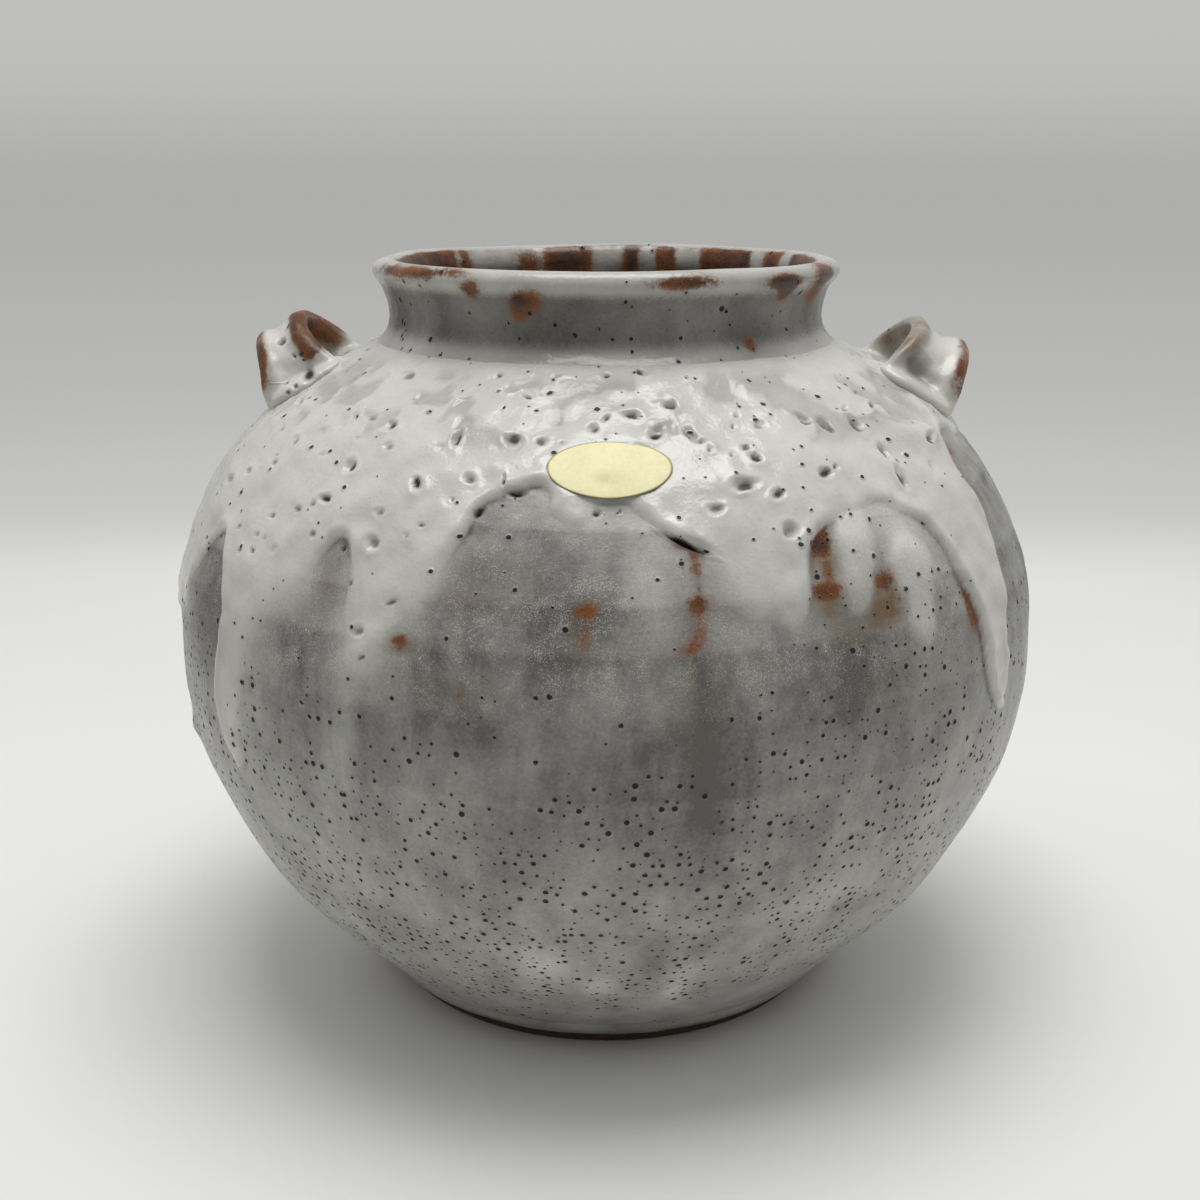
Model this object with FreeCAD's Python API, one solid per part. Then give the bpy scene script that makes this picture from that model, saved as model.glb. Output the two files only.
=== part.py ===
"""Globular stoneware jar: a thrown body with a neck collar, a foot ring and two strap lugs luted on,
and a blank oval paper seal. Millimetres, +Z up, with the origin at the centre of the ring that the jar
stands on. The glaze is part of every outside size."""
import FreeCAD, Part
import os

# The whole jar
jar_height = 188.0
belly_radius = 109.4
overrun = 20.0                    # how far a cutting solid runs past what it cuts

# Foot ring, luted on under the base
foot_height = 9.0
foot_rest_radius = 57.3
foot_rest_width = 7.5
foot_spread = 7.5                 # how much farther out the ring is where it meets the body

# Thrown body
wall_thickness = 5.0              # at the corners between the bands, where it is thinnest
floor_thickness = 8.0
floor_radius = 57.0
seat_radius = 56.3                # the neck collar is luted on here
throat_radius = 51.0              # clear way through shoulder and collar

# Poured glaze, a thick second coat over the shoulder, with runs that hang from its edge
pour_depth = 1.2

# Neck collar
collar_height = 19.8
waist_rise = 5.1                  # from the seat up to the narrowest place
waist_radius = 54.1
flare_rise = 10.8                 # from the seat up to where the flare turns out
flare_radius = 55.4
lip_radius = 58.2
lip_drop = 4.0                    # from the crest down to the widest point of the lip
lip_bevel = 1.6                   # how far the lip is rounded off above its widest point
crest_radius = 54.2
mouth_drop = 2.6                  # from the crest down to where the inside straightens

# Strap lugs, luted on the shoulder
lug_reach = 15.5                  # from the shoulder to the top of the strap
lug_span = 36.0                   # from foot to foot, outside
lug_strap = 4.6                   # thickness of the strap
lug_top_width = 14.0
lug_foot_width = 21.0
lug_groove = 1.4                  # depth of the finger groove along the strap
lug_edge = 3.0                    # width of the pinched edges on either side of the groove
lug_sink = 6.0                    # length of leg that the shoulder then trims off

# Paper seal
seal_width = 26.0
seal_height = 14.6
seal_thickness = 0.4

# The body's outline, from the foot ring up to the seat of the collar. A height is a share of that rise,
# and a radius is a share of the way from the near end's radius out to the belly's.
lower_outline_shares = ((0.0, 0.0), (0.066, 0.25), (0.133, 0.47), (0.258, 0.752), (0.383, 0.931),
                        (0.484, 0.994))
belly_height_share = 0.548
upper_outline_shares = ((0.62, 0.988), (0.70, 0.933), (0.788, 0.811), (0.871, 0.611), (0.944, 0.304),
                        (1.0, 0.0))
outline_bands = 10
throwing_bands = 4

# The pour: how far up the rise its edge is, and its runs. A run has its share of a turn from the front to
# the right, the share of the rise at its tip, and its half widths at the edge, halfway and at the tip, as
# shares of the belly's radius.
pour_edge_share = 0.83
pour_run_shares = ((0.861, 0.431, 0.185, 0.062, 0.036), (0.922, 0.620, 0.130, 0.075, 0.045),
                   (0.050, 0.697, 0.115, 0.090, 0.070), (0.150, 0.501, 0.125, 0.055, 0.030),
                   (0.286, 0.559, 0.115, 0.060, 0.040), (0.367, 0.427, 0.140, 0.065, 0.040),
                   (0.456, 0.616, 0.130, 0.080, 0.060), (0.556, 0.490, 0.140, 0.065, 0.040),
                   (0.656, 0.540, 0.115, 0.060, 0.040), (0.771, 0.620, 0.150, 0.085, 0.055))
halfway_share = 0.5

# Where the lugs and the seal sit: share of a turn from the front to the right, and share of the rise.
lug_place_shares = {"right_lug": (0.250, 0.927), "left_lug": (0.750, 0.936)}
seal_place_share = (0.0015, 0.882)

full_turn = 360.0
quarter_turn_share = 0.25
axis_foot = FreeCAD.Vector(0, 0, 0)
upright = FreeCAD.Vector(0, 0, 1)
foot_top_radius = foot_rest_radius + foot_spread
seat_height = jar_height - collar_height
body_rise = seat_height - foot_height
floor_height = foot_height + floor_thickness


def flat(radius, height):
    """A point of a turned profile, which lies in the XZ plane on the +X side."""
    return FreeCAD.Vector(radius, 0, height)


def lines(points):
    return [Part.LineSegment(start, end).toShape() for start, end in zip(points, points[1:])]


def loop(points):
    return Part.Wire(lines(points + points[:1]))


def turned(points):
    """The solid that a closed profile sweeps in a full turn about the jar's axis."""
    return Part.Face(loop(points)).revolve(axis_foot, upright, full_turn)


def carried_round(shape, turn_share):
    """A shape made on the +X side, carried to its place, counted from the front to the right."""
    moved = shape.copy()
    moved.rotate(axis_foot, upright, (turn_share - quarter_turn_share) * full_turn)
    return moved


def points_along(curve, steps):
    start, end = curve.FirstParameter, curve.LastParameter
    return [curve.value(start + (end - start) * step / steps) for step in range(steps + 1)]


def outward(curve, point):
    """Unit normal of a rising profile curve at one of its points, away from the jar's axis."""
    tangent = curve.tangent(curve.parameter(point))[0]
    return FreeCAD.Vector(tangent.z, 0, -tangent.x)


def shifted(curve, points, distance):
    return [point + outward(curve, point) * distance for point in points]


def point_at_share(curve, rise_share):
    """The point of the outline at a share of the body's rise."""
    height = foot_height + rise_share * body_rise
    level = Part.LineSegment(flat(0, height), flat(belly_radius + overrun, height))
    crossing = curve.intersectCC(level)[0]
    return flat(crossing.X, crossing.Z)


def make_outline():
    """The body's outside as one smooth curve in the XZ plane."""
    points = []
    for rise, out in lower_outline_shares:
        radius = foot_top_radius + out * (belly_radius - foot_top_radius)
        points.append(flat(radius, foot_height + rise * body_rise))
    points.append(flat(belly_radius, foot_height + belly_height_share * body_rise))
    for rise, out in upper_outline_shares:
        radius = seat_radius + out * (belly_radius - seat_radius)
        points.append(flat(radius, foot_height + rise * body_rise))
    curve = Part.BSplineCurve()
    curve.interpolate(points)
    return curve


def make_core(outline, thickness):
    """The body's outside filled in to the axis, grown by a thickness. It trims what is luted on."""
    side = shifted(outline, points_along(outline, outline_bands), thickness)
    return turned([flat(0, side[0].z)] + side + [flat(0, side[-1].z)])


def make_hollow(outline):
    """The clear inside. It keeps a few wide bands, one for each pull of the potter's fingers."""
    wall = shifted(outline, points_along(outline, throwing_bands), -wall_thickness)
    wall = [point for point in wall if point.z > floor_height and point.x > throat_radius]
    below = [flat(0, floor_height), flat(floor_radius, floor_height)]
    above = [flat(throat_radius, seat_height - wall_thickness), flat(throat_radius, seat_height + overrun),
             flat(0, seat_height + overrun)]
    return turned(below + wall + above)


def make_pour(outline):
    """The poured glaze, filled in to the axis: all above its edge, and its runs, tapered towards their tips."""
    edge_height = foot_height + pour_edge_share * body_rise
    reach = belly_radius + overrun
    covered = Part.makeCylinder(reach, seat_height - edge_height, flat(0, edge_height))
    for turn_share, tip_share, edge_half, halfway_half, tip_half in pour_run_shares:
        tip_height = foot_height + tip_share * body_rise
        halfway_height = tip_height + halfway_share * (edge_height - tip_height)
        tip_rounding = tip_half * belly_radius
        sides = ((edge_half, edge_height + wall_thickness), (edge_half, edge_height),
                 (halfway_half, halfway_height), (tip_half, tip_height + tip_rounding),
                 (halfway_share * tip_half, tip_height))
        right = [FreeCAD.Vector(0, share * belly_radius, height) for share, height in sides]
        left = [FreeCAD.Vector(0, -point.y, point.z) for point in right[::-1]]
        run = Part.Face(loop(right + left)).extrude(flat(reach, 0))
        covered = covered.fuse(carried_round(run, turn_share))
    return make_core(outline, pour_depth).common(covered)


def make_foot_ring():
    inner_radius = foot_rest_radius - foot_rest_width
    return turned([flat(inner_radius, 0), flat(foot_rest_radius, 0),
                   flat(foot_top_radius, foot_height), flat(inner_radius, foot_height)])


def make_neck():
    """Flaring collar with a rolled lip, set on the flat seat at the top of the shoulder."""
    return turned([
        flat(throat_radius, seat_height), flat(seat_radius, seat_height),
        flat(waist_radius, seat_height + waist_rise), flat(flare_radius, seat_height + flare_rise),
        flat(lip_radius, jar_height - lip_drop), flat(lip_radius - lip_bevel / 2, jar_height - lip_bevel),
        flat(crest_radius, jar_height), flat(throat_radius, jar_height - mouth_drop)])


def make_lug(outline, rise_share, trim):
    """Strap of clay bent into an arch along the shoulder, with a finger groove between pinched edges."""
    seat = point_at_share(outline, rise_share)
    up = outward(outline, seat)
    slope, sideways = FreeCAD.Vector(up.z, 0, -up.x), FreeCAD.Vector(0, 1, 0)

    def at(across, along, above):
        return seat + slope * across + sideways * along + up * above

    def arch(half_span, reach, half_width):
        """Solid under an arch of this span and reach, with its legs run down into the shoulder."""
        ends = [at(-half_width, side * half_span, 0) for side in (1, -1)]
        curve = Part.Arc(ends[1], at(-half_width, 0, reach), ends[0]).toShape()
        legs = lines([ends[0]] + [end - up * lug_sink for end in ends] + [ends[1]])
        return Part.Face(Part.Wire([curve] + legs)).extrude(slope * (2 * half_width))

    half_span, half_foot, half_top = lug_span / 2, lug_foot_width / 2, lug_top_width / 2
    strap = arch(half_span, lug_reach, half_foot)
    strap = strap.cut(arch(half_span - lug_strap, lug_reach - lug_strap, half_foot + overrun))
    floor_of_groove = arch(half_span - lug_groove, lug_reach - lug_groove, half_foot)
    beside_groove = arch(half_span + overrun, lug_reach + overrun, half_top - lug_edge)
    strap = strap.cut(beside_groove.cut(floor_of_groove))
    rim = lug_span + overrun
    taper = [at(-half_foot, -rim, 0), at(-half_top, -rim, lug_reach), at(half_top, -rim, lug_reach),
             at(half_foot, -rim, 0), at(half_foot, -rim, -lug_sink), at(-half_foot, -rim, -lug_sink)]
    sides = Part.Face(loop(taper)).extrude(sideways * (2 * rim))
    return strap.common(sides).cut(trim)


def make_seal(outline, rise_share, core):
    """Oval of paper laid on the poured glaze, left blank."""
    middle = point_at_share(outline, rise_share)
    up = outward(outline, middle)
    slope = FreeCAD.Vector(-up.z, 0, up.x)
    centre = middle - up * seal_height
    across = centre + FreeCAD.Vector(0, seal_width / 2, 0)
    oval = Part.Ellipse(across, centre + slope * (seal_height / 2), centre)
    punch = Part.Face(Part.Wire(oval.toShape())).extrude(up * (2 * seal_height))
    return punch.common(make_core(outline, pour_depth + seal_thickness)).cut(core)


def save(name, shape):
    shape.exportStep("parts/" + name + ".step")
    print(name, len(shape.Solids), "solid, valid", shape.isValid(), "volume", round(shape.Volume))


os.makedirs("parts", exist_ok=True)
outline = make_outline()
core = make_core(outline, 0).fuse(make_pour(outline)).removeSplitter()
save("jar_body", core.cut(make_hollow(outline)))
save("foot_ring", make_foot_ring())
save("neck_collar", make_neck())
for name, (turn_share, rise_share) in lug_place_shares.items():
    save(name, carried_round(make_lug(outline, rise_share, core), turn_share))
seal_turn_share, seal_rise_share = seal_place_share
save("paper_seal", carried_round(make_seal(outline, seal_rise_share, core), seal_turn_share))
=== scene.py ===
"""Round stoneware jar under a thick white feldspar glaze: thrown body, collar, foot ring, two strap lugs
and a plain paper seal. Lengths are in millimetres until a mesh is written, which is in metres. Azimuth is
in degrees from the front, positive to the right."""
import bpy, bmesh, math
import numpy as np
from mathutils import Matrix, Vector


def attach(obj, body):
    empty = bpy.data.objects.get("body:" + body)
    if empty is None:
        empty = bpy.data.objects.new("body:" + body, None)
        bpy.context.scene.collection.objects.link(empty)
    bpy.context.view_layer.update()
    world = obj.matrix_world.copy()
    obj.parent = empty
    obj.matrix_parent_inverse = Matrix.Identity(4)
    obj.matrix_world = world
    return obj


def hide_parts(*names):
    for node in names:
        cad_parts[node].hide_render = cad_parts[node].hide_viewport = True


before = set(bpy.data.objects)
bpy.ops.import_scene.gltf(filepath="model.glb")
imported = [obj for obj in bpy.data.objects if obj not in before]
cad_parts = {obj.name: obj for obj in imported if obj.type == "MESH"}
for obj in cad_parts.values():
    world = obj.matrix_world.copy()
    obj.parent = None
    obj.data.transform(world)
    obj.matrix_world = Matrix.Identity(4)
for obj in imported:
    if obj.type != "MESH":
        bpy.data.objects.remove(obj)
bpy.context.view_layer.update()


# Thrown body: one ball-shaped wall of iron-rich stoneware about 5 mm thick. It was dipped in thin grey-white
# glaze, then thick white glaze was poured over the shoulder. That ran down in lobes, crawled into craters
# where it bridged the clay, and let iron burn through where it stayed thin.
mm = 0.001
body_outline = [
    (64.8, 9), (69.3, 13.6), (86, 30.1), (98.8, 50), (106.9, 69.9), (109.8, 86.4), (110, 96),
    (109.2, 107.7), (105.9, 119.6), (98.7, 134.5), (87.9, 147.7), (71.5, 159.3), (56.3, 168.2)]
body_inside = [
    (51, 168.2), (51, 165.5), (53.9, 163), (66, 155.5), (82, 144), (92.8, 130), (101, 114), (104.6, 96),
    (103.5, 80), (98, 62), (89, 46), (76, 31), (64, 20.5), (52, 17.4)]
base_height, floor_height = 9.0, 17.0
belly = 104.0                      # radius at which the glaze pattern keeps its true width


def smooth_line(points, spacing):
    """Points a set distance apart on a smooth line through the given ones."""
    given = np.array(points, float)
    along = np.r_[0, np.cumsum(np.hypot(*np.diff(given, axis=0).T))]
    gap, count = np.diff(along), len(given)
    matrix, right = np.eye(count), np.zeros((count, 2))
    for i in range(1, count - 1):
        matrix[i, i - 1:i + 2] = gap[i - 1], 2 * (gap[i - 1] + gap[i]), gap[i]
        right[i] = 6 * ((given[i + 1] - given[i]) / gap[i] - (given[i] - given[i - 1]) / gap[i - 1])
    bend = np.linalg.solve(matrix, right)
    place = np.linspace(0, along[-1], round(along[-1] / spacing) + 1)
    i = np.clip(np.searchsorted(along, place, side="right") - 1, 0, count - 2)
    reach = gap[i][:, None]
    here, next_one = (along[i + 1] - place)[:, None] / reach, (place - along[i])[:, None] / reach
    curve = (here**3 - here) * bend[i] + (next_one**3 - next_one) * bend[i + 1]
    return here * given[i] + next_one * given[i + 1] + curve * reach**2 / 6


def spun(profile, steps, closed=False):
    """A profile of (radius, height) turned round the jar's axis."""
    bm = bmesh.new()
    verts = [bm.verts.new((0, -radius * mm, height * mm)) for radius, height in profile]
    edges = [bm.edges.new(pair) for pair in zip(verts, verts[1:] + (verts[:1] if closed else []))]
    bmesh.ops.spin(bm, geom=verts + edges, cent=(0, 0, 0), axis=(0, 0, 1), angle=math.tau, steps=steps,
                   use_merge=True)
    bmesh.ops.remove_doubles(bm, verts=bm.verts, dist=1e-6)
    bmesh.ops.recalc_face_normals(bm, faces=bm.faces)
    return bm


def in_scene(name, data):
    """A new object of this data, in the scene."""
    made = bpy.data.objects.new(name, data)
    bpy.context.scene.collection.objects.link(made)
    return made


def finished(bm, name):
    """The bmesh as a smooth-shaded object in the scene."""
    mesh = bpy.data.meshes.new(name)
    bm.to_mesh(mesh)
    bm.free()
    mesh.shade_smooth()
    return in_scene(name, mesh)


def raw_points(mesh):
    """The mesh's points as they are stored."""
    flat = np.empty(len(mesh.vertices) * 3)
    mesh.vertices.foreach_get("co", flat)
    return flat.reshape(-1, 3)


def positions(mesh):
    """The mesh's points in millimetres."""
    return raw_points(mesh) / mm


def set_positions(mesh, points):
    mesh.vertices.foreach_set("co", (points * mm).ravel())
    mesh.update()


def note(mesh, name, values):
    """Keeps a number, or three, at each point of the mesh for its material to read."""
    values = np.asarray(values, float)
    kind, key = ("FLOAT", "value") if values.ndim == 1 else ("FLOAT_VECTOR", "vector")
    mesh.attributes.new(name, kind, "POINT").data.foreach_set(key, values.ravel())


def round_axis(points):
    """Azimuth, distance from the jar's axis and height of each point."""
    return np.degrees(np.arctan2(points[:, 0], -points[:, 1])), np.hypot(*points[:, :2].T), points[:, 2]


def rise(low, high, values):
    """0 at low, 1 at high, eased between, and level beyond. It falls where low is the larger."""
    share = np.clip((values - low) / (high - low), 0, 1)
    return share * share * (3 - 2 * share)


def waves(points, length, seed):
    """A gentle uneven swell over the points, about -1 to 1, with this typical wave length."""
    dice = np.random.default_rng(seed)
    total = np.zeros(len(points))
    for _ in range(9):
        way = dice.normal(size=3)
        way *= math.tau / (length * dice.uniform(0.7, 1.6)) / np.linalg.norm(way)
        total += np.sin(points @ way + dice.uniform(0, math.tau))
    return total / 3


outline = smooth_line(body_outline, 0.5)
outline_rise = np.r_[0, np.cumsum(np.hypot(*np.diff(outline, axis=0).T))]
outline_slope = np.gradient(outline, axis=0)
outline_slope /= np.hypot(*outline_slope.T)[:, None]


def up_the_wall(height):
    """Distance along the outline from its foot."""
    return np.interp(height, outline[:, 1], outline_rise)


def on_wall(azimuth, climb, above):
    """Points above the outline, by azimuth and by distance along it."""
    radius, height, slope_r, slope_z = (np.interp(climb, outline_rise, values)
                                        for values in (*outline.T, *outline_slope.T))
    radius, height, turn = radius + above * slope_z, height - above * slope_r, np.radians(azimuth)
    return np.stack([radius * np.sin(turn), -radius * np.cos(turn), height], 1)


def degree_width(climb):
    """Millimetres to a degree round the wall."""
    return np.interp(climb, outline_rise, outline[:, 0]) * math.pi / 180


def turned_from(place, azimuth):
    """Degrees round the jar from a place, positive to its right."""
    return (azimuth - place + 180) % 360 - 180


def from_place(azimuth, place, climb):
    """The same in millimetres along the wall."""
    return turned_from(place, azimuth) * degree_width(climb)


# Lower edge of the pour, once round the jar: azimuth, height, and how thick and rolled the edge is.
pour_edge = [
    (-67.6, 108.9, .3), (-66.8, 115.8, .6), (-64.4, 122.2, .8), (-61.7, 127.4, .8), (-59.4, 128.9, .9),
    (-57, 126.6, 1), (-53.3, 115.7, 1), (-52.5, 107, 1), (-53.7, 99.4, 1), (-53.8, 89.7, 1), (-52.6, 83, 1),
    (-51, 78.3, 1), (-49.7, 77.6, 1), (-48.5, 81.6, .8), (-48.7, 87.6, .5), (-47.9, 95.2, .4),
    (-46.8, 100.3, .3), (-45.9, 107.6, .2), (-44.7, 112.5, .2), (-42.8, 116.4, .2), (-40, 119, .2),
    (-37.8, 121.6, .3), (-37.4, 124.3, .4), (-37.2, 127, .6), (-36.5, 130.5, .8), (-35.3, 133.6, .9),
    (-34.1, 134.4, .9), (-33, 133.3, .9), (-32.1, 130.6, .8), (-31.7, 126.8, .7), (-31.4, 121.9, .6),
    (-30.5, 115.1, .5), (-29.7, 111.2, .35), (-28.7, 108.6, .25), (-27.4, 107.7, .15), (-25.9, 109.8, .1),
    (-25.1, 113.4, .1), (-24.5, 116.9, .15), (-23.5, 120.7, .3), (-21.7, 124.5, .1), (-20.2, 127.4, .1),
    (-19.4, 130.9, .3), (-18.3, 134.7, .7), (-17.2, 138, 1), (-16.8, 140.7, 1), (-16.2, 142.6, 1),
    (-14.9, 144.1, 1), (-13.8, 144.7, 1), (-13, 145.6, 1), (-11.2, 146.2, 1), (-9.3, 146.9, 1),
    (-8, 146.6, .9), (-6.9, 144.9, .8), (-6.6, 142.4, .8), (-5.3, 140.7, .9), (-4.1, 140.1, .9),
    (-2.8, 140.4, .8), (-1.8, 142, .6), (-1.1, 143.4, .4), (0, 144.1, .3), (1.8, 144.3, .4),
    (3.3, 143.8, .7), (4.2, 142.5, .9), (5.4, 140.9, 1), (6.3, 139.7, 1), (7.5, 138.7, 1), (8.8, 137.2, 1),
    (10.2, 136.1, 1), (11.5, 135.1, 1), (12.1, 133.2, .5), (12.8, 129.9, .2), (13.7, 126.5, .1),
    (15.5, 123.7, .1), (17.7, 121.8, .2), (20, 120.3, .2), (21.8, 120, .3), (23.2, 121.3, .55),
    (24.1, 124.6, .8), (24.5, 128.3, 1), (25, 132, 1), (25.8, 134.7, 1), (27.2, 136.6, .9),
    (29.2, 138.1, .8), (31.4, 139.1, .7), (33.6, 139.4, .6), (36, 140.1, .6), (38.1, 140.9, .7),
    (39.7, 140.2, .7), (41, 138.7, .7), (43.3, 137.2, .8), (45.4, 134.7, .9), (46.3, 131.8, 1),
    (47.1, 129.3, 1), (47.7, 125.6, 1), (48.4, 121.1, 1), (49.6, 116.3, 1), (50.5, 110.4, 1),
    (51.1, 104.4, 1), (52.1, 98, 1), (53.8, 92.4, 1), (56, 88.7, 1), (57.4, 88.9, 1), (57.6, 92.7, 1),
    (57.4, 100.1, 1), (57, 108.7, 1), (58.2, 116.2, 1), (59.5, 122.5, 1), (60.8, 128.8, 1),
    (61.1, 134.3, 1), (60.9, 139.2, 1), (61.4, 143.7, 1), (63.2, 146.7, 1), (66.5, 148.6, .8),
    (71, 149, .7), (77, 146.5, .6), (84, 146, .5), (91, 148, .6), (95, 146, .7), (97.5, 138, .9),
    (99, 127, .9), (100.5, 115, 1), (102, 104, 1), (104.5, 98, 1), (107, 99, .9), (108.5, 106, .7),
    (110, 116, .4), (113, 124, .2), (117, 128, .2), (121, 126, .4), (124, 118, .7), (126, 106, .9),
    (127.5, 93, 1), (129.5, 82, 1), (132, 77, 1), (134.5, 80, 1), (135.5, 90, .9), (136.5, 104, .7),
    (138.5, 118, .4), (142, 129, .2), (147, 134, .2), (152, 132, .3), (156, 124, .4), (159, 114, .6),
    (162.5, 107, .8), (166, 107, .8), (168.5, 114, .8), (170, 124, .9), (172, 133, 1), (176, 138, 1),
    (181, 139, 1), (186, 136, 1), (189.5, 129, .8), (192, 118, .6), (194.5, 105, .8), (197, 93, 1),
    (200, 87, 1), (203, 90, 1), (204.5, 101, .9), (206.5, 114, .7), (210, 124, .3), (215, 129, .1),
    (221, 129, .2), (226, 124, .5), (229.5, 115, .8), (232, 103, .9), (235, 95, 1), (238, 96, 1),
    (240, 104, .8), (242, 116, .6), (245, 127, .6), (249.5, 134, .8), (255, 137, .9), (260.5, 135, .9),
    (264.5, 127, .8), (267.5, 115, .7), (270.5, 106, .8), (273.5, 102, .9), (277.5, 101, .9),
    (281.5, 102, .7), (285.5, 104, .4), (289, 106, .3)]
# Thin runs that hang inside the right-hand arch of the pour, each a closed loop.
pour_runs = [
    [(30.8, 139.4), (28.9, 131.3), (28.3, 125.7), (28.7, 121.7), (30, 120), (31.5, 120.6), (32.7, 122.7),
     (33.8, 127.4), (35, 131), (35.7, 135.8), (35.8, 140.2)],
    [(36.2, 124), (36.9, 121.6), (37.6, 116.8), (38.4, 112.8), (39.6, 110.9), (41, 111.9), (42, 115.8),
     (43, 120.8), (43.8, 126), (43.6, 131), (41, 134), (38, 133), (36.4, 129)]]


def rounded(points, loop_turn):
    """A closed line of (azimuth, climb, roll) with three eased points added in each gap."""
    given = np.array(points, float)
    given[:, 1] = up_the_wall(given[:, 1])
    shift = np.array([loop_turn, 0, 0])
    before, after = np.vstack([given[-1] - shift, given[:-1]]), np.vstack([given[1:], given[0] + shift])
    beyond = np.vstack([after[1:], given[1] + shift])
    out = [given + (after - before) * t / 2 + (2 * before - 5 * given + 4 * after - beyond) * t * t / 2
           + (3 * given - before - 3 * after + beyond) * t**3 / 2 for t in (0, 0.25, 0.5, 0.75)]
    return np.stack(out, 1).reshape(-1, 3)


edge_line = rounded(pour_edge, 360)
edge_line[:, 2] = np.clip(edge_line[:, 2], 0.05, 1)
run_lines = [rounded([(*point, 0.35) for point in run], 0) for run in pour_runs]


def distance_to(line, turn, azimuth, climb, farthest=16.0):
    """Distance to a closed line, positive on its pour side, and the roll of its nearest point. Each slice
    of the wall looks only at the pieces of line near it."""
    starts, ends = line, np.vstack([line[1:], line[0] + np.array([turn, 0, 0])])
    if turn:
        starts = np.vstack([starts - (turn, 0, 0), starts, starts + (turn, 0, 0)])
        ends = np.vstack([ends - (turn, 0, 0), ends, ends + (turn, 0, 0)])
    near, (roll, flips) = np.full(len(azimuth), farthest), np.zeros((2, len(azimuth)))
    slice_width, margin = 4, 14
    for low in range(-180, 180, slice_width):
        high = low + slice_width
        rows = np.flatnonzero((azimuth >= low) & (azimuth < high))
        keep = np.minimum(starts[:, 0], ends[:, 0]) < high + margin
        keep &= np.maximum(starts[:, 0], ends[:, 0]) > low - margin
        if not len(rows) or not keep.any():
            continue
        a, b = starts[keep], ends[keep]
        az, cl = azimuth[rows, None], climb[rows, None]
        wide = degree_width(cl)
        step_u, step_v = (b[:, 0] - a[:, 0]) * wide, b[:, 1] - a[:, 1]
        from_u, from_v = (az - a[:, 0]) * wide, cl - a[:, 1]
        share = np.clip((from_u * step_u + from_v * step_v) / (step_u**2 + step_v**2 + 1e-9), 0, 1)
        apart = np.hypot(from_u - share * step_u, from_v - share * step_v)
        best = apart.argmin(1)
        row = np.arange(len(rows))
        near[rows] = np.minimum(apart[row, best], farthest)
        roll[rows] = a[best, 2] + share[row, best] * (b[best, 2] - a[best, 2])
        spans = (a[:, 0] <= az) != (b[:, 0] <= az)
        over = a[:, 1] + step_v * (az - a[:, 0]) / np.where(spans, b[:, 0] - a[:, 0], 1)
        flips[rows] = (spans & (over > cl)).sum(1)
    return near * np.where((flips % 2 == 1) == (turn == 0), 1, -1), roll


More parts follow.
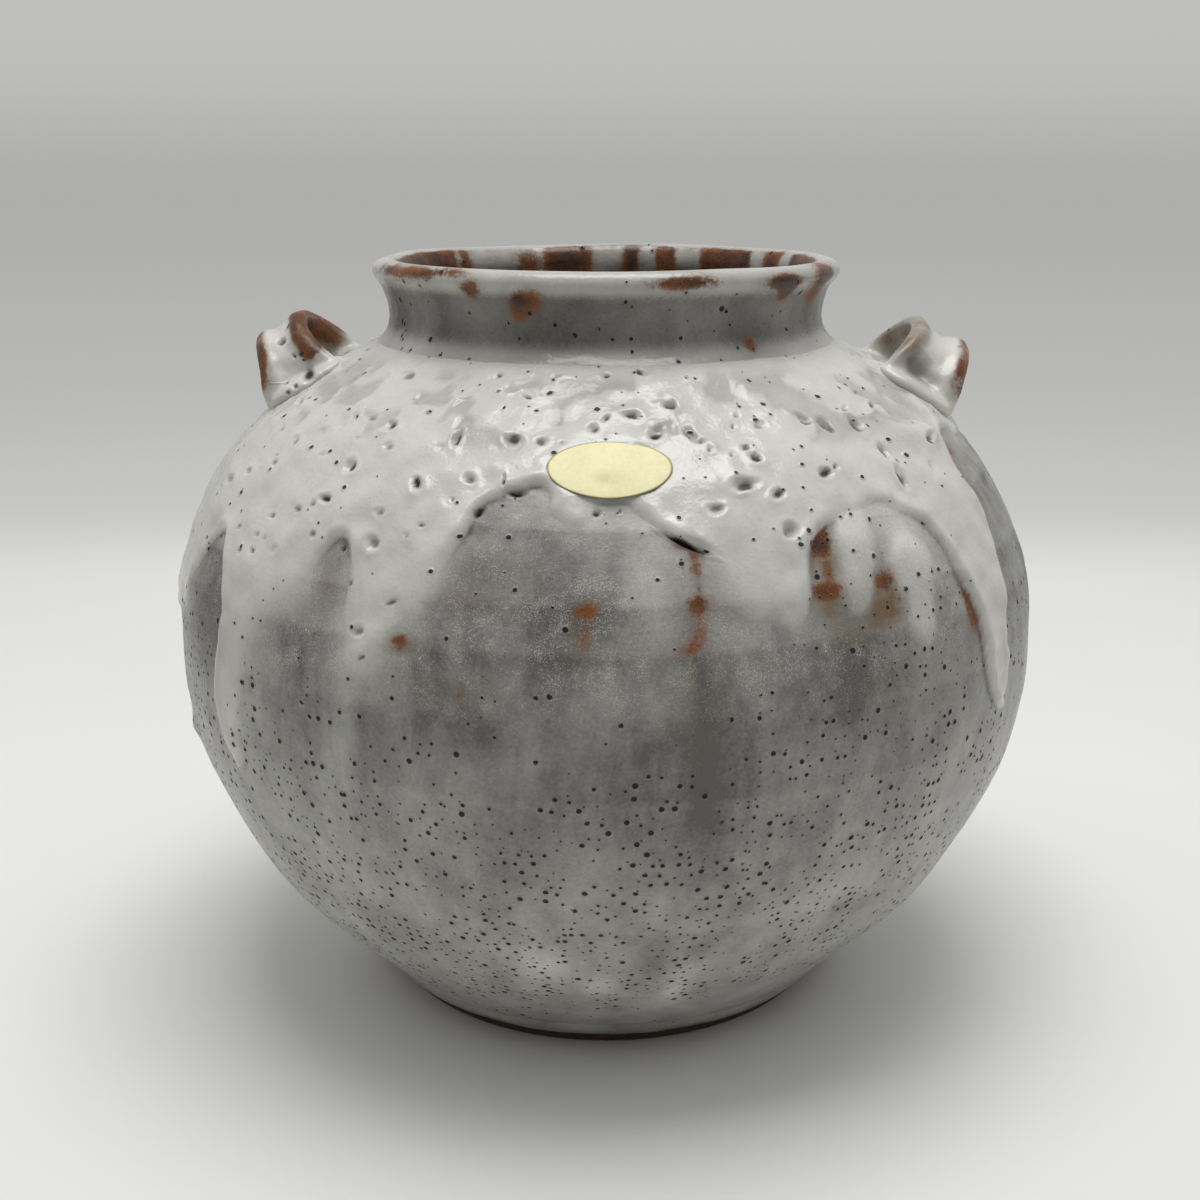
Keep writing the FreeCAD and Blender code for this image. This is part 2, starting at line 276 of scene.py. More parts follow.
# Where the pour crawled: azimuth, height, half length, half width, tilt, depth, and how dark the bottom is,
# which is bared clay and painted shade in the hollow.
craters = [
    (-44.4, 163.4, 2.9, 1.7, 5, .5, .6), (-36.2, 154.6, 2.1, 1.5, -34, .9, .9),
    (-41.7, 155.6, 1.7, 1, -18, .5, .5), (-31.3, 157.6, 1.3, .8, -31, .5, .6),
    (-37.2, 159.8, 1, .6, -20, .3, .4), (-46.4, 155.6, 1.5, .9, -26, .4, .5),
    (-54.7, 149.2, 1.9, 1, -27, .6, .7), (-67.7, 154.9, 3, 1.1, -10, .5, .6),
    (-49.2, 152, 2.1, 1.5, -11, .2, 0), (-55.7, 144.6, 1.5, .9, -18, .4, .6),
    (-61.7, 141.2, 1.8, 1.2, -3, .4, .4), (-66.7, 138, 2.9, 1.4, 11, .4, .4),
    (-62.3, 150.2, 1.6, .9, -18, .3, .4), (-38.6, 147, 2.2, 1.7, -9, 1.1, .9),
    (-39.7, 140.6, 2.6, 1, -2, 1, 1), (-41.4, 139.3, 1.2, .8, 3, .5, .6),
    (-43.9, 137.7, 1.1, .9, -2, .5, .6), (-48.3, 135.2, 1.2, .7, -5, .5, .8),
    (-29.8, 139.8, 1.4, 1, 8, .5, .6), (-33.9, 151.1, 1.5, 1.2, -13, .5, .5),
    (-41.1, 151.9, .9, .7, -26, .2, .3), (-45.7, 148.3, 1.3, .7, -20, .3, .4),
    (-25.9, 145.3, 2.2, 1.3, -67, 1, 1), (-23.3, 153.7, 2.5, 1, -85, 1, 1),
    (-18.7, 147.3, 1.6, 1.3, -24, .9, .7), (-13.7, 147.3, 1.6, .5, -79, .9, 1),
    (-14.4, 154.3, 2, 1.4, 10, .9, .8), (-9.7, 154, 1.5, 1.2, -66, .8, .8),
    (-6.5, 153.8, .8, .6, -76, .4, .6), (-38.9, 133.7, 1, .9, -4, .5, .6),
    (-33.9, 132.5, 1.1, .8, -84, 1, 1), (-31.2, 126.3, .9, .6, -80, .8, 1),
    (-29.4, 134, 1.9, 1.6, 0, .9, .5), (-28.7, 117.2, 1.9, 1, 15, .7, .5),
    (-27.6, 112.4, 1, .6, 20, .6, .9), (-54.8, 131, 1.1, .7, -2, .3, .5),
    (-49.6, 130.9, 1.1, .8, 5, .4, .5), (-47.8, 130.8, .8, .6, 9, .3, .5),
    (-49.3, 127.6, 1.3, .7, 0, .5, .8), (-52.1, 126.7, 1.2, .6, 2, .4, .6),
    (-45.1, 129.3, 1.6, 1, 8, .3, .1), (-24.9, 123.8, 1.4, .6, 23, .5, .7),
    (-23.2, 138.3, .8, .6, -14, .5, .9), (-24.8, 136.3, .8, .6, -3, .4, .6),
    (-20.1, 143.4, .6, .5, -49, .3, .7), (-16.3, 141.5, 1.9, .8, 57, .8, 1),
    (-11.7, 145.5, 2.3, .8, -7, .9, 1), (-22.2, 165.1, .9, .7, -3, .5, .9),
    (-20.2, 162, .9, .7, 30, .5, .9), (-27.3, 160.5, .7, .5, 1, .4, .8),
    (-14.4, 161.2, 1.5, .5, -16, .5, .9), (-10, 165, 1.6, .7, 0, .3, .4), (.2, 165.6, 1.2, 1, 52, .6, .9),
    (7.5, 166.1, 1.6, 1.2, -78, .8, .9), (16.5, 164.7, .7, .5, 54, .4, .9),
    (4.3, 158.5, 2, 1.3, -16, 1, .9), (0, 157.9, 1.3, .7, 59, .7, .9), (-2, 156.3, 1.5, 1.2, -46, .8, .8),
    (11.2, 159.9, 2, 1.3, -7, 1, .9), (7.8, 155.3, 2.6, 1.5, 41, 1.2, 1), (13, 155.3, 1.7, 1.5, 83, 1, .8),
    (14.5, 153.7, .9, .7, 69, .7, 1), (15.3, 152.3, .7, .6, -54, .5, .9),
    (20.9, 152.2, 1.3, 1.1, 27, .8, .8), (21.7, 150.5, 2, 1.2, -59, 1, 1),
    (25.6, 156.1, 1.8, 1.4, -14, .5, .5), (22.5, 157.9, .9, .8, 21, .5, .7),
    (20.9, 156.2, .9, .7, 66, .5, .8), (18.6, 146.1, 2.7, 1.9, 10, 1.3, .9),
    (22.9, 143.9, 1.7, 1.3, 42, 1, .9), (14, 142.1, 2, 1.2, 12, .8, .6),
    (23.1, 137.4, 2.3, 1.6, 16, 1.1, .5), (18.3, 151.2, .7, .5, 38, .4, .8),
    (-1.1, 142.2, .9, .8, 21, .9, 1), (1.8, 142.7, .6, .5, 86, .4, .3), (34, 156, 2, 1.6, -44, 1, .7),
    (37.8, 154.9, 2.9, 1.7, -64, 1.1, .7), (44.2, 153.9, 3, 1.6, -85, 1, .7),
    (44.8, 156.7, 1.6, .8, 23, .7, 1), (53.5, 156.5, 2.7, 1.1, 13, .7, .8),
    (44.8, 148.6, 2.4, 1.6, 81, 1.1, 1), (44.8, 144.1, 3, 1.8, -83, 1.2, 1),
    (31.5, 146.7, 2, 1.3, 15, 1, .9), (33.8, 147.5, 1, .7, 31, .5, .8), (57.3, 148.5, 2.4, 1, 7, .9, .8),
    (53.4, 144.3, 1.6, .9, 56, .3, .3), (9.7, 136.4, 4.6, .55, -31, 1.1, 1.6)]
# The same kind of craters, scattered round the back.
dice = np.random.default_rng(11)
for _ in range(95):
    size = dice.uniform(0.6, 1.9)
    craters.append((dice.uniform(72, 288), dice.uniform(138, 166), size, size * dice.uniform(0.5, 0.95),
                    dice.uniform(-70, 70), 0.35 + 0.35 * size, dice.uniform(0.4, 1)))

# Patches on the wall: azimuth, height, half width, half height and strength. Iron burnt through the glaze.
iron_patches = [
    (-2.3, 124.7, 2.7, 1.7, .85), (-2.5, 119.3, 1.5, 5, .6), (10.2, 136.8, 3.3, 1.5, .9),
    (10.5, 131.9, 1.4, 7.1, .75), (10.5, 125.5, 3.3, 1.9, .85), (10.2, 120.8, 2.3, 3.6, .55),
    (8.8, 116.7, 3.3, 1.6, .6), (27, 135.8, 3.7, 4, 1.25), (26.7, 130.4, 3.2, 4, .45),
    (26.6, 125.6, 4.4, 1.8, 1.3), (35.2, 125.8, 3.6, 2.3, 1.15), (35.6, 121, 2.2, 3, .5),
    (35.3, 135.9, 1.1, 6.5, .35), (-23.4, 116.4, 2.1, 1.8, .9), (48.8, 122.4, 2, 5.4, .7),
    (49.5, 114.8, 2.6, 5.9, .75), (42.7, 118.8, 1.4, 3.8, .55), (63.7, 146.2, 5.5, 3.2, .55),
    (59.8, 139.1, 4.4, 1.8, .8), (-15.8, 107.5, 1.3, 1, .6), (118, 131, 4, 3, .9), (119, 123, 2, 6, .6),
    (146, 137, 5, 2, .8), (150, 128, 2, 7, .7), (180, 128, 3, 3, .9), (183, 121, 2, 6, .5),
    (214, 133, 4, 2.5, 1), (219, 123, 3, 5, .6), (256, 130, 2.5, 5, .9), (246, 118, 2, 4, .6)]
# The ochre halo round it.
ochre_patches = [
    (26.9, 121.7, 4.9, 2.9, 1.1), (33.5, 120.9, 7.1, 3.3, 1.2), (30.1, 116.9, 7.2, 1.8, 1.1),
    (-21.7, 116, 4.1, 1, .6), (-34.8, 123, 2.8, 6.6, .55), (-15.2, 125.9, 7.2, 1.8, .6),
    (9.9, 107.2, 4.5, 12.4, .35), (-15.6, 108, 6.4, 1.8, .35), (39.3, 103.8, 13.7, 6.7, .3),
    (5.8, 117.7, 7, 2.4, .3), (-14.4, 130.6, 12.7, 4.1, .2), (27.1, 130.7, 3.4, 4.2, .9),
    (58.9, 142.6, 10.5, 8.8, .4), (118, 124, 7, 9, .5), (148, 126, 8, 8, .5), (180, 122, 7, 9, .4),
    (216, 122, 9, 7, .5), (252, 122, 8, 9, .5), (285, 112, 6, 9, .4)]
# Glaze that is thicker and whiter where the strength is positive, thin and grey where it is negative.
veil_patches = [
    (5.5, 124, 5, 15, .3), (2, 108, 8, 9, .2), (-31, 98, 4.5, 22, .2), (-38, 90, 8, 14, -.08),
    (-44, 108, 6, 12, .12), (12, 90, 7, 22, -.28), (-14, 100, 11, 9, -.22), (30, 104, 14, 9, -.2),
    (-10, 118, 13, 6, -.12), (-9, 38, 7, 9, .4), (-1, 31, 4, 7, .45), (11, 26, 3, 10, .45),
    (6, 40, 4, 9, -.25), (-30, 45, 14, 10, -.1), (24, 52, 12, 14, .12), (45, 84, 9, 20, .15),
    (52, 60, 9, 15, -.12), (-58, 112, 4, 10, -.2), (-62, 80, 8, 14, .1), (33, 137, 8, 5.5, .4),
    (41, 135, 5, 6, .4), (-17, 136, 8, 3, .2), (4, 140, 12, 3, .2), (39, 133, 6, 7, .12),
    (0, 88, 14, 12, -.1), (5, 160, 26, 9, -.13), (-57, 105, 14, 16, -.24), (-35, 110, 14, 12, -.2),
    (2, 106, 30, 30, -.05)]

# Lumps where the pour gathered, with their height in millimetres as the strength.
lumps = [
    (59, 149.5, 5, 4, 2.2), (53, 151, 5, 3.5, 1.6), (72, 152, 6, 6, 1), (-70, 76, 3, 3, 1),
    (-66, 151, 6, 5, .5)]
# Rings left by the potter's fingers: height and depth.
finger_rings = [
    (138.3, .16), (124.6, .2), (115.3, .16), (101.5, .14), (84, .16), (66, .14), (49, .16), (33, .12)]
pour_depth, roll_depth, run_depth = 1.25, 0.85, 0.6
glaze_bed = 0.55                   # the relief is measured from this far under the outline
glaze_under_seal = 1.0
finest = 0.56                      # craters narrower than this get the finest faces
seal_place, seal_half_width, seal_half_height = (0.55, up_the_wall(149.4)), 13.0, 7.3
lug_places = ((90, up_the_wall(156.58)), (-90, up_the_wall(158.01)))
foot_half_length, foot_half_width = 13.5, 6


def patched(patches, azimuth, climb, power=2):
    """The summed strength of soft oval patches. A higher power gives a flatter middle and a firmer edge."""
    total = np.zeros(len(azimuth))
    for place, height, half_wide, half_high, strength in patches:
        across = np.abs(from_place(azimuth, place, climb)) / half_wide
        along = np.abs(climb - up_the_wall(height)) / half_high
        total += strength * np.exp(-(across**power + along**power))
    return total


def near_collar(climb):
    """The band below the collar where the pour drew back into shallow pools with raised rims."""
    starts, full, ebbs, ends = up_the_wall((150, 154, 163.5, 166.5))
    return rise(starts, full, climb) * (1 - rise(ebbs, ends, climb))


def pools(points):
    """An uneven field that is high inside the pools."""
    return waves(points, 17, 12) + 0.35 * waves(points, 6, 13)


def ring_bend(azimuth, height):
    """How far a throwing ring wanders off its level."""
    return 0.8 * np.sin(np.radians(azimuth * 2 + height))


def poured(azimuth, climb, points):
    """Relief of the pour, how much of it is there, distance in from its edge, and how rolled that is."""
    edge, roll = distance_to(edge_line, 360, azimuth, climb)
    run = np.full(len(azimuth), -16.0)
    for line in run_lines:
        run = np.maximum(run, distance_to(line, 0, azimuth, climb)[0])
    roll = roll**1.5 * (0.72 + 0.28 * rise(-0.5, 0.5, waves(points, 38, 15)))
    edge = edge + 0.5 * waves(points, 7, 3) * rise(0, 1, 1 - roll)
    crisp = pour_depth * (1 - np.exp(-np.maximum(edge, 0) / 0.7))
    crisp += roll_depth * roll * np.exp(-(((edge - 1.9) / 1.5) ** 2))
    relief = roll * crisp + (1 - roll) * pour_depth * rise(-3, 10, edge)
    relief = np.maximum(relief, run_depth * (1 - np.exp(-np.maximum(run, 0) / 0.9)))
    pour = roll * rise(-0.35, 0.45, edge) + (1 - roll) * rise(-3.5, 5.5, edge)
    return relief, np.maximum(pour, 0.62 * rise(-1, 1.5, run)), edge, roll


def crawled(azimuth, climb):
    """Relief of the craters, how dark they are inside (bared clay, with painted shade in the hollow), and the
    half width of the narrowest one near.
    """
    relief, pit = np.zeros((2, len(azimuth)))
    nearest = np.full(len(azimuth), 9.0)
    for number, (place, height, long, short, tilt, depth, dark) in enumerate(craters):
        across, along = from_place(azimuth, place, climb), climb - up_the_wall(height)
        close = np.flatnonzero((np.abs(across) < 4 * long) & (np.abs(along) < 4 * long))
        turn = math.radians(tilt)
        a = (across[close] * math.cos(turn) + along[close] * math.sin(turn)) / long
        b = (along[close] * math.cos(turn) - across[close] * math.sin(turn)) / short
        way_round = np.arctan2(b, a)
        uneven = 1 + 0.13 * np.sin(2 * way_round + number) + 0.08 * np.sin(3 * way_round + 2.3 * number)
        out = np.hypot(a, b) * uneven
        rim = 0.2 * min(1, depth) * np.exp(-(((out - 1.35) / 0.33) ** 2))
        relief[close] += rim - depth * (1 - rise(0.35, 1.1, out))
        # The dark bottom of each crater: bared clay, and painted shade in the hollow.
        shown = np.hypot(a - 0.3 * math.cos(number), b - 0.25 * math.sin(2 * number))
        pit[close] = np.maximum(pit[close], dark * (1 - rise(0.4, 0.8, shown)))
        crack = (short < finest) & (np.abs(b) * short < 1.9) & (np.abs(a) < 1.4)
        nearest[close] = np.minimum(nearest[close], np.where((out < 1.9) | crack, short, 9))
    return relief, pit, nearest


def glaze_field(azimuth, climb):
    """Relief of the glaze over the outline, how much of it is pour, how dark its craters are (bared clay and
    painted shade), the half width of the finest detail there, and how much whiter or darker it is beside the
    pour's edge: whiter in patches of the thin glaze below it, and darker in a narrow band right under a
    rolled edge, which is painted shade."""
    points = on_wall(azimuth, climb, 0)
    relief, pour, edge, roll = poured(azimuth, climb, points)
    relief += 0.16 * waves(points, 34, 5)
    relief += pour * (0.24 * waves(points, 13, 6) + 0.17 * waves(points, 6, 7))
    pool = pools(points)
    pool_rim = 0.24 * np.exp(-(((pool - 0.12) / 0.12) ** 2))
    relief -= pour * near_collar(climb) * (0.3 * rise(0.15, 0.4, pool) - pool_rim)
    for height, depth in finger_rings:
        past = climb - up_the_wall(height) - ring_bend(azimuth, height)
        relief += (1 - pour) * depth * (rise(-0.9, 0.9, past) - rise(-12, 12, past))
    crater_relief, pit, nearest = crawled(azimuth, climb)
    relief += crater_relief
    seal = np.hypot(from_place(azimuth, seal_place[0], climb) / seal_half_width,
                    (climb - seal_place[1]) / seal_half_height)
    under = 1 - rise(0.92, 1.04, seal)
    relief = relief * (1 - under) + under * (glaze_under_seal + 0.1 * waves(points, 34, 5))
    relief += patched(lumps, azimuth, climb)
    for place, seat_climb in lug_places:
        across, along = np.abs(from_place(azimuth, place, climb)), np.abs(climb - seat_climb)
        beside = np.hypot(np.maximum(across - foot_half_length, 0), np.maximum(along - foot_half_width, 0))
        relief += 2.2 * np.exp(-((beside / 4.5) ** 2)) * rise(5, 12, across)
    ends = rise(0, 26, climb) * (1 - rise(outline_rise[-1] - 5, outline_rise[-1], climb))
    edge_tone_and_shade = 0.2 * rise(-0.4, 0.6, waves(points, 48, 16)) * (1 - pour)
    edge_tone_and_shade *= np.exp(-((np.minimum(edge, 0) / 9) ** 2))
    # Painted shade: a dark band right under each rolled edge of the pour.
    edge_tone_and_shade -= 0.32 * roll**2 * np.exp(-(((edge + 0.4) / 0.7) ** 2))
    nearest = np.where((np.abs(edge) < 2.6) & (roll > 0.1), np.minimum(nearest, 1), nearest)
    return (relief - glaze_bed) * ends, pour, pit * (1 - under), nearest, edge_tone_and_shade * (1 - under)


def wall_places(points):
    """Azimuth, distance up the outline, and which points lie on the outside wall."""
    azimuth, radius, height = round_axis(points)
    wall = np.abs(radius - np.interp(height, outline[:, 1], outline[:, 0])) < 0.6
    wall &= (height > base_height + 0.05) & (height < outline[-1, 1] - 0.05)
    return azimuth, up_the_wall(height), wall


# Rows of the wall lie closer where the glaze has relief, and faces near its finer detail are cut again.
lower = [point for point in smooth_line(body_outline, 3.2) if point[1] < 74]
upper = [point for point in smooth_line(body_outline, 1.65) if point[1] > 75.5]
base_rows = [(radius, base_height) for radius in (0, 12, 24, 36, 48, 57, 64.5)]
floor_rows = [(radius, floor_height) for radius in (44, 33, 22, 11, 4, 0)]
outer_rows = base_rows + lower[:1] + [(65.07, 9.25)] + lower[1:] + upper
bm = spun(outer_rows + list(smooth_line(body_inside, 7)) + floor_rows, 340)
for cuts, half_width in ((2, 5), (1, finest)):
    azimuth, climb, wall = wall_places(np.array([vert.co[:] for vert in bm.verts]) / mm)
    fine = np.zeros(len(wall), bool)
    fine[wall] = glaze_field(azimuth[wall], climb[wall])[3] < half_width
    bm.verts.ensure_lookup_table()
    busy = {edge for index in np.flatnonzero(fine)
            for face in bm.verts[index].link_faces for edge in face.edges}
    bmesh.ops.subdivide_edges(bm, edges=list(busy), cuts=cuts, use_grid_fill=True)
    bmesh.ops.triangulate(bm, faces=[face for face in bm.faces if len(face.verts) > 4])
body = finished(bm, "thrown_body")
points = positions(body.data)
azimuth, climb, wall = wall_places(points)
relief, pour, pit, edge_tone_and_shade = np.zeros((4, len(wall)))
relief[wall], pour[wall], pit[wall], _, edge_tone_and_shade[wall] = glaze_field(azimuth[wall], climb[wall])
points[wall] = on_wall(azimuth[wall], climb[wall], relief[wall])
inside = ~wall & (points[:, 2] > floor_height + 4) & (points[:, 2] < 160)
swirl = 0.004 * np.sin(points[inside, 2] / 11 * math.tau + np.radians(azimuth[inside]))
points[inside, :2] *= (1 + swirl)[:, None]
set_positions(body.data, points)


def note_glaze(mesh, **noted):
    """Everything that the glaze material reads, with the unrolled place of each point."""
    azimuth, radius, height = round_axis(positions(mesh))
    climb = np.where(height < base_height, (height - base_height) * 1.3, up_the_wall(height))
    climb = np.where(height > outline[-1, 1], outline_rise[-1] + height - outline[-1, 1], climb)
    note(mesh, "unrolled", np.stack([np.radians(azimuth) * belly, climb, radius], 1) * mm)
    noted["pins"] = noted["pins"] * (np.abs(azimuth) < 178.6)
    for name, values in noted.items():
        note(mesh, name, np.broadcast_to(values, len(azimuth)))


height = points[:, 2]
# The glaze tone: greyest round the middle and lighter towards the foot, partly thicker glaze and partly
# painted light bounced up from the table, with a change of tone at each throwing ring.
veil = np.interp(height, (9, 34, 46, 62, 84, 138, 150), (.10, .14, .08, .02, -.12, -.13, -.05))
for level, change in ((138.3, .2), (124.6, .2), (115.3, .16), (101.5, .1), (84, -.08), (66, .1), (49, .1)):
    past = height - level
    veil += change * (rise(-0.6, 0.6, past - ring_bend(azimuth, level)) - rise(-8, 8, past))
veil = veil * (1 - 0.8 * pour) + patched(veil_patches, azimuth, climb) + edge_tone_and_shade
iron = patched(iron_patches, azimuth, climb, 3) * (1 - 0.9 * pour)
ochre = patched(ochre_patches, azimuth, climb) * (1 - pour)
# Pinholes: few high up and in the pour, many round the belly, more at the sides and in the right-hand arch.
pins = 0.13 + 0.18 * rise(118, 98, height) + 0.62 * rise(104, 66, height) - 0.8 * rise(31, 16, height)
pins += 0.14 * waves(points, 60, 8) + 0.26 * rise(30, 44, np.abs(azimuth)) * rise(134, 112, height)
pins += 0.3 * rise(23, 27, azimuth) * rise(52, 46, azimuth) * rise(112, 120, height)
pins = (np.clip(pins, 0.03, 0.9) * (1 - 0.85 * pour) + 0.06 * pour) * wall
under_base = height < base_height + 0.1
sugar = rise(94, 112, height) * (1 - rise(140, 148, height)) * wall
thin = rise(0.15, 0.45, pools(points)) * near_collar(climb) * pour * wall
note_glaze(body.data, pour=pour * wall, pit=pit, iron=iron, ochre=ochre, veil=veil, pins=pins, sugar=sugar,
           thin=thin, bare=~wall & under_base, lining=~wall & ~under_base)


class Wire:
    """A shader socket. Arithmetic on it adds Math nodes to its tree."""

    def __init__(self, tree, socket=None):
        self.tree, self.socket = tree, socket

    def add(self, kind, inputs, output=0, **settings):
        """A new node: its settings first, then its sockets, then the output that is wanted."""
        node = self.tree.nodes.new("ShaderNode" + kind)
        for name, value in settings.items():
            setattr(node, name, value)
        for name, value in inputs.items():
            if isinstance(value, Wire):
                self.tree.links.new(value.socket, node.inputs[name])
            else:
                node.inputs[name].default_value = value
        return Wire(self.tree, node.outputs[output] if node.outputs else None)

    def other(self, output):
        return Wire(self.tree, self.socket.node.outputs[output])

    def maths(self, operation, *values, **settings):
        return self.add("Math", dict(enumerate(values)), operation=operation, **settings)

    def __add__(self, value):
        return self.maths("ADD", self, value)

    def __radd__(self, value):
        return self.maths("ADD", value, self)

    def __sub__(self, value):
        return self.maths("SUBTRACT", self, value)

    def __rsub__(self, value):
        return self.maths("SUBTRACT", value, self)

    def __mul__(self, value):
        return self.maths("MULTIPLY", self, value)

    def __rmul__(self, value):
        return self.maths("MULTIPLY", value, self)

    def __truediv__(self, value):
        return self.maths("DIVIDE", self, value)

    def __pow__(self, value):
        return self.maths("POWER", self, value)

    def __gt__(self, value):
        return self.maths("GREATER_THAN", self, value)

    def held(self):
        """Kept between 0 and 1."""
        return self.maths("ADD", self, 0.0, use_clamp=True)

    def rise(self, low, high):
        return self.add("MapRange", {"Value": self, "From Min": low, "From Max": high},
                        interpolation_type="SMOOTHSTEP")

    def noise(self, scale, detail, roughness=0.5):
        """An uneven grey, read at the place that this carries."""
        sockets = {"Vector": self, "Scale": scale, "Detail": detail, "Roughness": roughness}
        return self.add("TexNoise", sockets)

    def part(self, axis):
        return self.add("SeparateXYZ", {0: self}, axis)

    def mix(self, first, second):
        """From the first colour to the second as this goes from 0 to 1."""
        return self.add("Mix", {0: self, 6: first, 7: second}, 2, data_type="RGBA")


def tone(red, green, blue):
    """A colour as it is seen on a screen, 0 to 255, as linear light."""
    shares = (value / 255 for value in (red, green, blue))
    return *(share / 12.92 if share < 0.0405 else ((share + 0.055) / 1.055) ** 2.4 for share in shares), 1


def blank_sheet(owner):
    """The empty shader tree of a material or a world."""
    owner.use_nodes = True
    owner.node_tree.nodes.clear()
    return Wire(owner.node_tree)


def new_material(name):
    material = bpy.data.materials.new(name)
    return material, blank_sheet(material)


def finish_material(sheet, shader):
    sheet.add("OutputMaterial", {"Surface": shader})


def feldspar_glaze(name, grey, white, clay=(66, 46, 36), mottled=1.0):
    """Feldspar glaze over iron clay, from the numbers kept at the points of the mesh."""
    material, sheet = new_material(name)
    place = sheet.add("TexCoord", {}, "Object")
    pour, pit, iron, ochre, veil, pins, bare, sugar, thin, inside = (
        sheet.add("Attribute", {}, "Fac", attribute_name=noted) for noted in
        ("pour", "pit", "iron", "ochre", "veil", "pins", "bare", "sugar", "thin", "lining"))
    unrolled = sheet.add("Attribute", {}, "Vector", attribute_name="unrolled")
    cloud, mottle, grain = place.noise(38, 4, 0.55), place.noise(190, 5, 0.62), place.noise(1250, 3, 0.6)
    stretched = sheet.add("Mapping", {"Vector": place, "Scale": (1, 1, 0.22)})
    streak = stretched.noise(95, 4, 0.6)

    uneven = (cloud - 0.5) * 0.5 + (streak - 0.5) * 0.75 + (mottle - 0.5) * 0.35 + (grain - 0.5) * 0.35
    thick = 0.38 + pour * 0.54 + veil - thin * 0.26 + uneven * (1 - pour * 0.6) * mottled
    colour = thick.held().mix(tone(*grey), tone(*white))
    crystal = place.noise(3400, 2, 0.6)
    speck = (crystal + (mottle - 0.5) * 0.5).rise(0.56, 0.67) * sugar * (1 - pour)
    colour = (speck * 0.48).mix(colour, tone(220, 219, 215))
    halo = ochre * 0.95 + iron.held() ** 0.5 * 0.6
    colour = (halo * (mottle + streak).rise(0.66, 1.16)).held().mix(colour, tone(112, 92, 62))
    burn = (iron * 1.25 + (mottle - 0.5) * 1.8 + (grain - 0.5) * 1.3).rise(0.3, 1.15)
    rust = (mottle + crystal - iron * 0.3).rise(0.4, 0.95).mix(tone(50, 20, 2), tone(128, 70, 6))
    colour = (burn * iron.rise(0.06, 0.3)).mix(colour, rust)
    lining = (streak * 1.6 + mottle * 0.5).rise(0.85, 1.2).mix(tone(74, 40, 26), tone(176, 170, 160))
    colour = inside.mix(colour, lining)

    cell = sheet.add("TexVoronoi", {"Vector": unrolled, "Scale": 370}, "Color", voronoi_dimensions="2D")
    chance = cell.part("X")
    apart = sheet.add("VectorMath", {0: cell.other("Position"), 1: unrolled}, operation="SUBTRACT")
    across = apart.part("X")
    true_width = unrolled.part("Z") / (belly * mm)
    wobble = (grain - 0.5) * 0.25 * mm
    reach = ((across * true_width) ** 2 + across.other("Y") ** 2) ** 0.5 + wobble
    size = 0.16 * mm + chance.other("Y") ** 2 * (0.48 * mm)
    crowd = cell.other("Position").noise(75, 2)
    there = pins * crowd.rise(0.3, 0.62) * 1.25 > chance
    hole = there * (1 - reach.add("MapRange", {"Value": reach / size, "From Min": 0.75, "From Max": 1.15}))
    lip = there * (1 - (reach / size).rise(1.2, 2.1)) * (1 - hole)
    # Painted highlight: a faint light ring on the raised lip round each pinhole.
    colour = (lip * 0.06).mix(colour, tone(225, 222, 216))
    colour = (hole * 0.97).mix(colour, tone(26, 16, 12))
    # Crater bottoms: bared clay, with painted shade in the hollow.
    colour = pit.held().mix(colour, tone(27, 18, 14))
    colour = bare.mix(colour, mottle.rise(0.3, 0.75).mix(tone(38, 30, 26), tone(*clay)))

    rough = (0.33 - pour * 0.17 + (grain - 0.5) * (0.25 - pour * 0.13) + burn * iron.held() * 0.1
             + sugar * (1 - pour) * 0.12 + bare * 0.4 + (hole + pit) * 0.5)
    flattened = sheet.add("Mapping", {"Vector": place, "Scale": (0.12, 0.12, 1)})
    turning = flattened.noise(700, 3)
    relief = (lip * 0.16 - hole * 0.7 + (grain - 0.5) * (0.09 - pour * 0.06)
              + (mottle - 0.5) * (0.14 + pour * 0.22) + speck * 0.05 + cloud * 0.35
              + (turning - 0.5) * (0.10 - pour * 0.08))
    bump = sheet.add("Bump", {"Height": relief, "Distance": mm})
    finish_material(sheet, sheet.add("BsdfPrincipled", {"Base Color": colour, "Roughness": rough.held(),
                                                        "Normal": bump, "IOR": 1.5}))
    return material


body.data.materials.append(feldspar_glaze("body_glaze", (93, 92, 88), (216, 215, 210)))
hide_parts("jar_body")
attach(body, "root")


# Foot ring: the same dark clay, thrown on under the base and trimmed with a tool. The glaze stops in a soft
# roll a few millimetres above the floor, because it would stick to the kiln shelf.
foot_profile = [
    (64.3, 9.5), (64.78, 9.15), (64.74, 8.95), (63.9, 7.9), (62.6, 6.3), (61.6, 5.1), (61, 4.4),
    (60.4, 3.8), (59.7, 3.4), (59, 2.9), (58.4, 1.8), (57.8, 0.8), (57.2, 0.2), (56.4, 0), (53.5, 0),
    (50.8, 0), (50.1, 0.3), (49.8, 1), (49.6, 3.5), (49.4, 6.5), (49, 9.3), (57, 9.6)]
foot = finished(spun(foot_profile, 240, closed=True), "trimmed_foot_ring")
points = positions(foot.data)
_, radius, height = round_axis(points)
glaze_stops = 3.9 + 0.5 * waves(points, 20, 21) + 0.3 * waves(points, 7, 22)
outside = rise(55, 57.5, radius)
bare = np.maximum(1 - outside, rise(0.5, -0.4, height - glaze_stops))
swell = 0.12 * (1 - bare) * rise(9, 6, height) * outside
points[:, :2] *= (1 + swell / radius)[:, None]
set_positions(foot.data, points)
iron = 0.5 * rise(2.2, 0.2, height - glaze_stops) * outside * (1 - bare)
note_glaze(foot.data, iron=iron, veil=0.1 + 0.08 * waves(points, 25, 23), pins=0.03 * outside, bare=bare)
foot.data.materials.append(feldspar_glaze("foot_clay", (93, 92, 88), (216, 215, 210), clay=(70, 50, 39)))
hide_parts("foot_ring")
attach(foot, "root")


